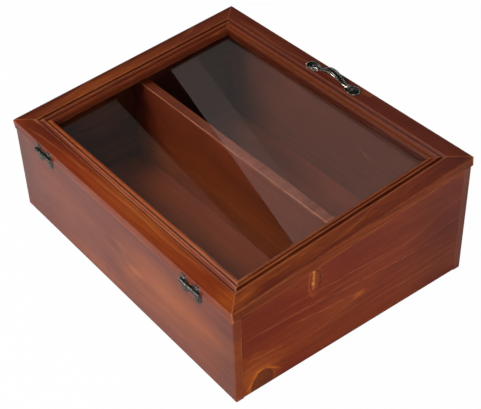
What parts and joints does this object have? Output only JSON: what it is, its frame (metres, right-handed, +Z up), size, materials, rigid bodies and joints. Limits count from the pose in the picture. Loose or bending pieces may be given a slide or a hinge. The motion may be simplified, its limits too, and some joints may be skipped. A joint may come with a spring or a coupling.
{
  "type": "tabletop display case",
  "caption": "Sloping-topped stained pine display case with two long bays, a glazed and moulded lid on small surface hinges, and a bow handle.",
  "frame": {"origin": "middle of the case's flat underside", "axes": "+X along the case's length, +Y from the low hinged side to the high side with the handle, +Z up"},
  "size_m": [0.4016, 0.3136, 0.1608],
  "materials": {
    "stained_pine": "satin red-brown stain and varnish",
    "stained_plywood": "matt red-brown stain",
    "clear_glass": "clear, polished",
    "antique_bronze": "dark antique bronze with worn high spots",
    "brad_steel": "bright wire"
  },
  "bodies": {
    "case": {"low_wall": "stained_pine", "high_wall": "stained_pine", "left_end_panel": "stained_pine", "right_end_panel": "stained_pine", "bottom_panel": "stained_plywood", "divider": "stained_pine", "corner_brads": "brad_steel", "bottom_brads": "brad_steel", "case_leaf_screws": "antique_bronze", "left_case_leaf": "antique_bronze", "right_case_leaf": "antique_bronze", "left_hinge_pin": "antique_bronze", "right_hinge_pin": "antique_bronze"},
    "lid": {"low_rail": "stained_pine", "high_rail": "stained_pine", "left_rail": "stained_pine", "right_rail": "stained_pine", "mitre_brads": "brad_steel", "glass_pane": "clear_glass", "low_strip": "stained_pine", "high_strip": "stained_pine", "left_strip": "stained_pine", "right_strip": "stained_pine", "strip_pins": "brad_steel", "lid_leaf_screws": "antique_bronze", "left_lid_leaf": "antique_bronze", "right_lid_leaf": "antique_bronze", "handle": "antique_bronze", "handle_screws": "antique_bronze"}
  },
  "joints": [
    {"name": "lid_hinge", "type": "hinge", "parent": "case", "child": "lid", "pos_m": [0, -0.15645, 0.1077], "axis": [1, 0, 0], "range_deg": [0, 185]}
  ]
}
